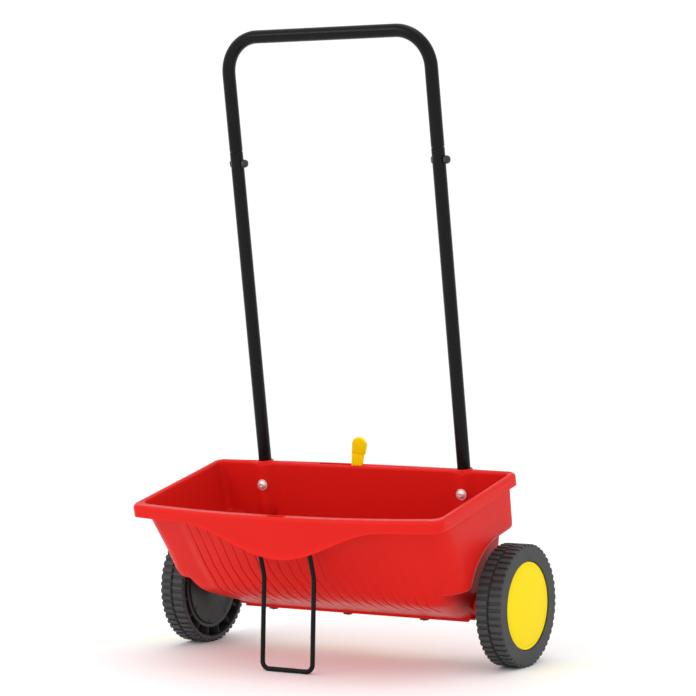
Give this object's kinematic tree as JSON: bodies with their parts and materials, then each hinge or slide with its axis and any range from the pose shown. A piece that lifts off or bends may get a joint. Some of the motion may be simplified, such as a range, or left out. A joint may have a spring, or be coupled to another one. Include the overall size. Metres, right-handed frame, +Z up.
{
  "type": "garden spreader",
  "caption": "Push drop spreader for lawns: open hopper on two treaded wheels, wire stand, tube handle and a lever that opens the outlet slots.",
  "frame": {"origin": "on the ground, under the middle of the bounding box, when the spreader is parked on its wheels and stand", "axes": "+X across the spreader along the wheel axle, +Y from the stand towards the user's side with the lever, +Z up"},
  "size_m": [0.623, 0.3382, 0.9919],
  "materials": {
    "red_plastic": "glossy moulded plastic",
    "yellow_plastic": "glossy moulded plastic",
    "black_plastic": "satin moulded plastic",
    "grey_plastic": "satin moulded plastic",
    "black_tube": "gloss powder coat on steel tube",
    "black_wire": "gloss dip coat on steel wire",
    "zinc_steel": "bright zinc plate"
  },
  "bodies": {
    "hopper": {"hopper_tub": "red_plastic", "slide_plates": "grey_plastic", "slide_screws": "zinc_steel", "pivot_washer": "zinc_steel", "pivot_screw": "zinc_steel", "axle_bush_left": "black_plastic", "axle_bush_right": "black_plastic", "handle_tube_left": "black_tube", "handle_tube_right": "black_tube", "handle_bar": "black_tube", "tube_plugs": "grey_plastic", "hopper_bolts": "zinc_steel", "hopper_washers": "zinc_steel", "hopper_nuts": "zinc_steel", "joint_bolts": "zinc_steel", "joint_nuts": "black_plastic", "stand_wire": "black_wire", "stand_clips": "grey_plastic", "stand_screws": "zinc_steel"},
    "drive_axle": {"axle_rod": "zinc_steel", "agitator": "grey_plastic", "agitator_pins": "zinc_steel", "thrust_washers": "zinc_steel", "drive_pin": "zinc_steel", "push_nuts": "zinc_steel", "wheel_right": "black_plastic", "wheel_cover_right": "grey_plastic", "hub_disc_right": "yellow_plastic"},
    "free_wheel": {"wheel_left": "black_plastic", "wheel_cover_left": "grey_plastic", "hub_disc_left": "yellow_plastic"},
    "lever": {"metering_lever": "yellow_plastic"},
    "shutter": {"shutter_slide": "yellow_plastic"}
  },
  "joints": [
    {"name": "axle_spin", "type": "hinge", "parent": "hopper", "child": "drive_axle", "pos_m": [0, 0.07414, 0.095], "axis": [1, 0, 0], "continuous": true},
    {"name": "free_wheel_spin", "type": "hinge", "parent": "hopper", "child": "free_wheel", "pos_m": [0, 0.07414, 0.095], "axis": [1, 0, 0], "continuous": true},
    {"name": "lever_swing", "type": "hinge", "parent": "hopper", "child": "lever", "pos_m": [-0.0385, 0.13924, 0.12865], "axis": [0, 0.9799, 0.1994], "range_deg": [-18, 0]},
    {"name": "shutter_travel", "type": "slide", "parent": "hopper", "child": "shutter", "axis": [1, 0, 0], "range_m": [0, 0.0146]}
  ],
  "couplings": [
    {"joint": "shutter_travel", "follows": "lever_swing", "m_per_rad": -0.046382}
  ]
}
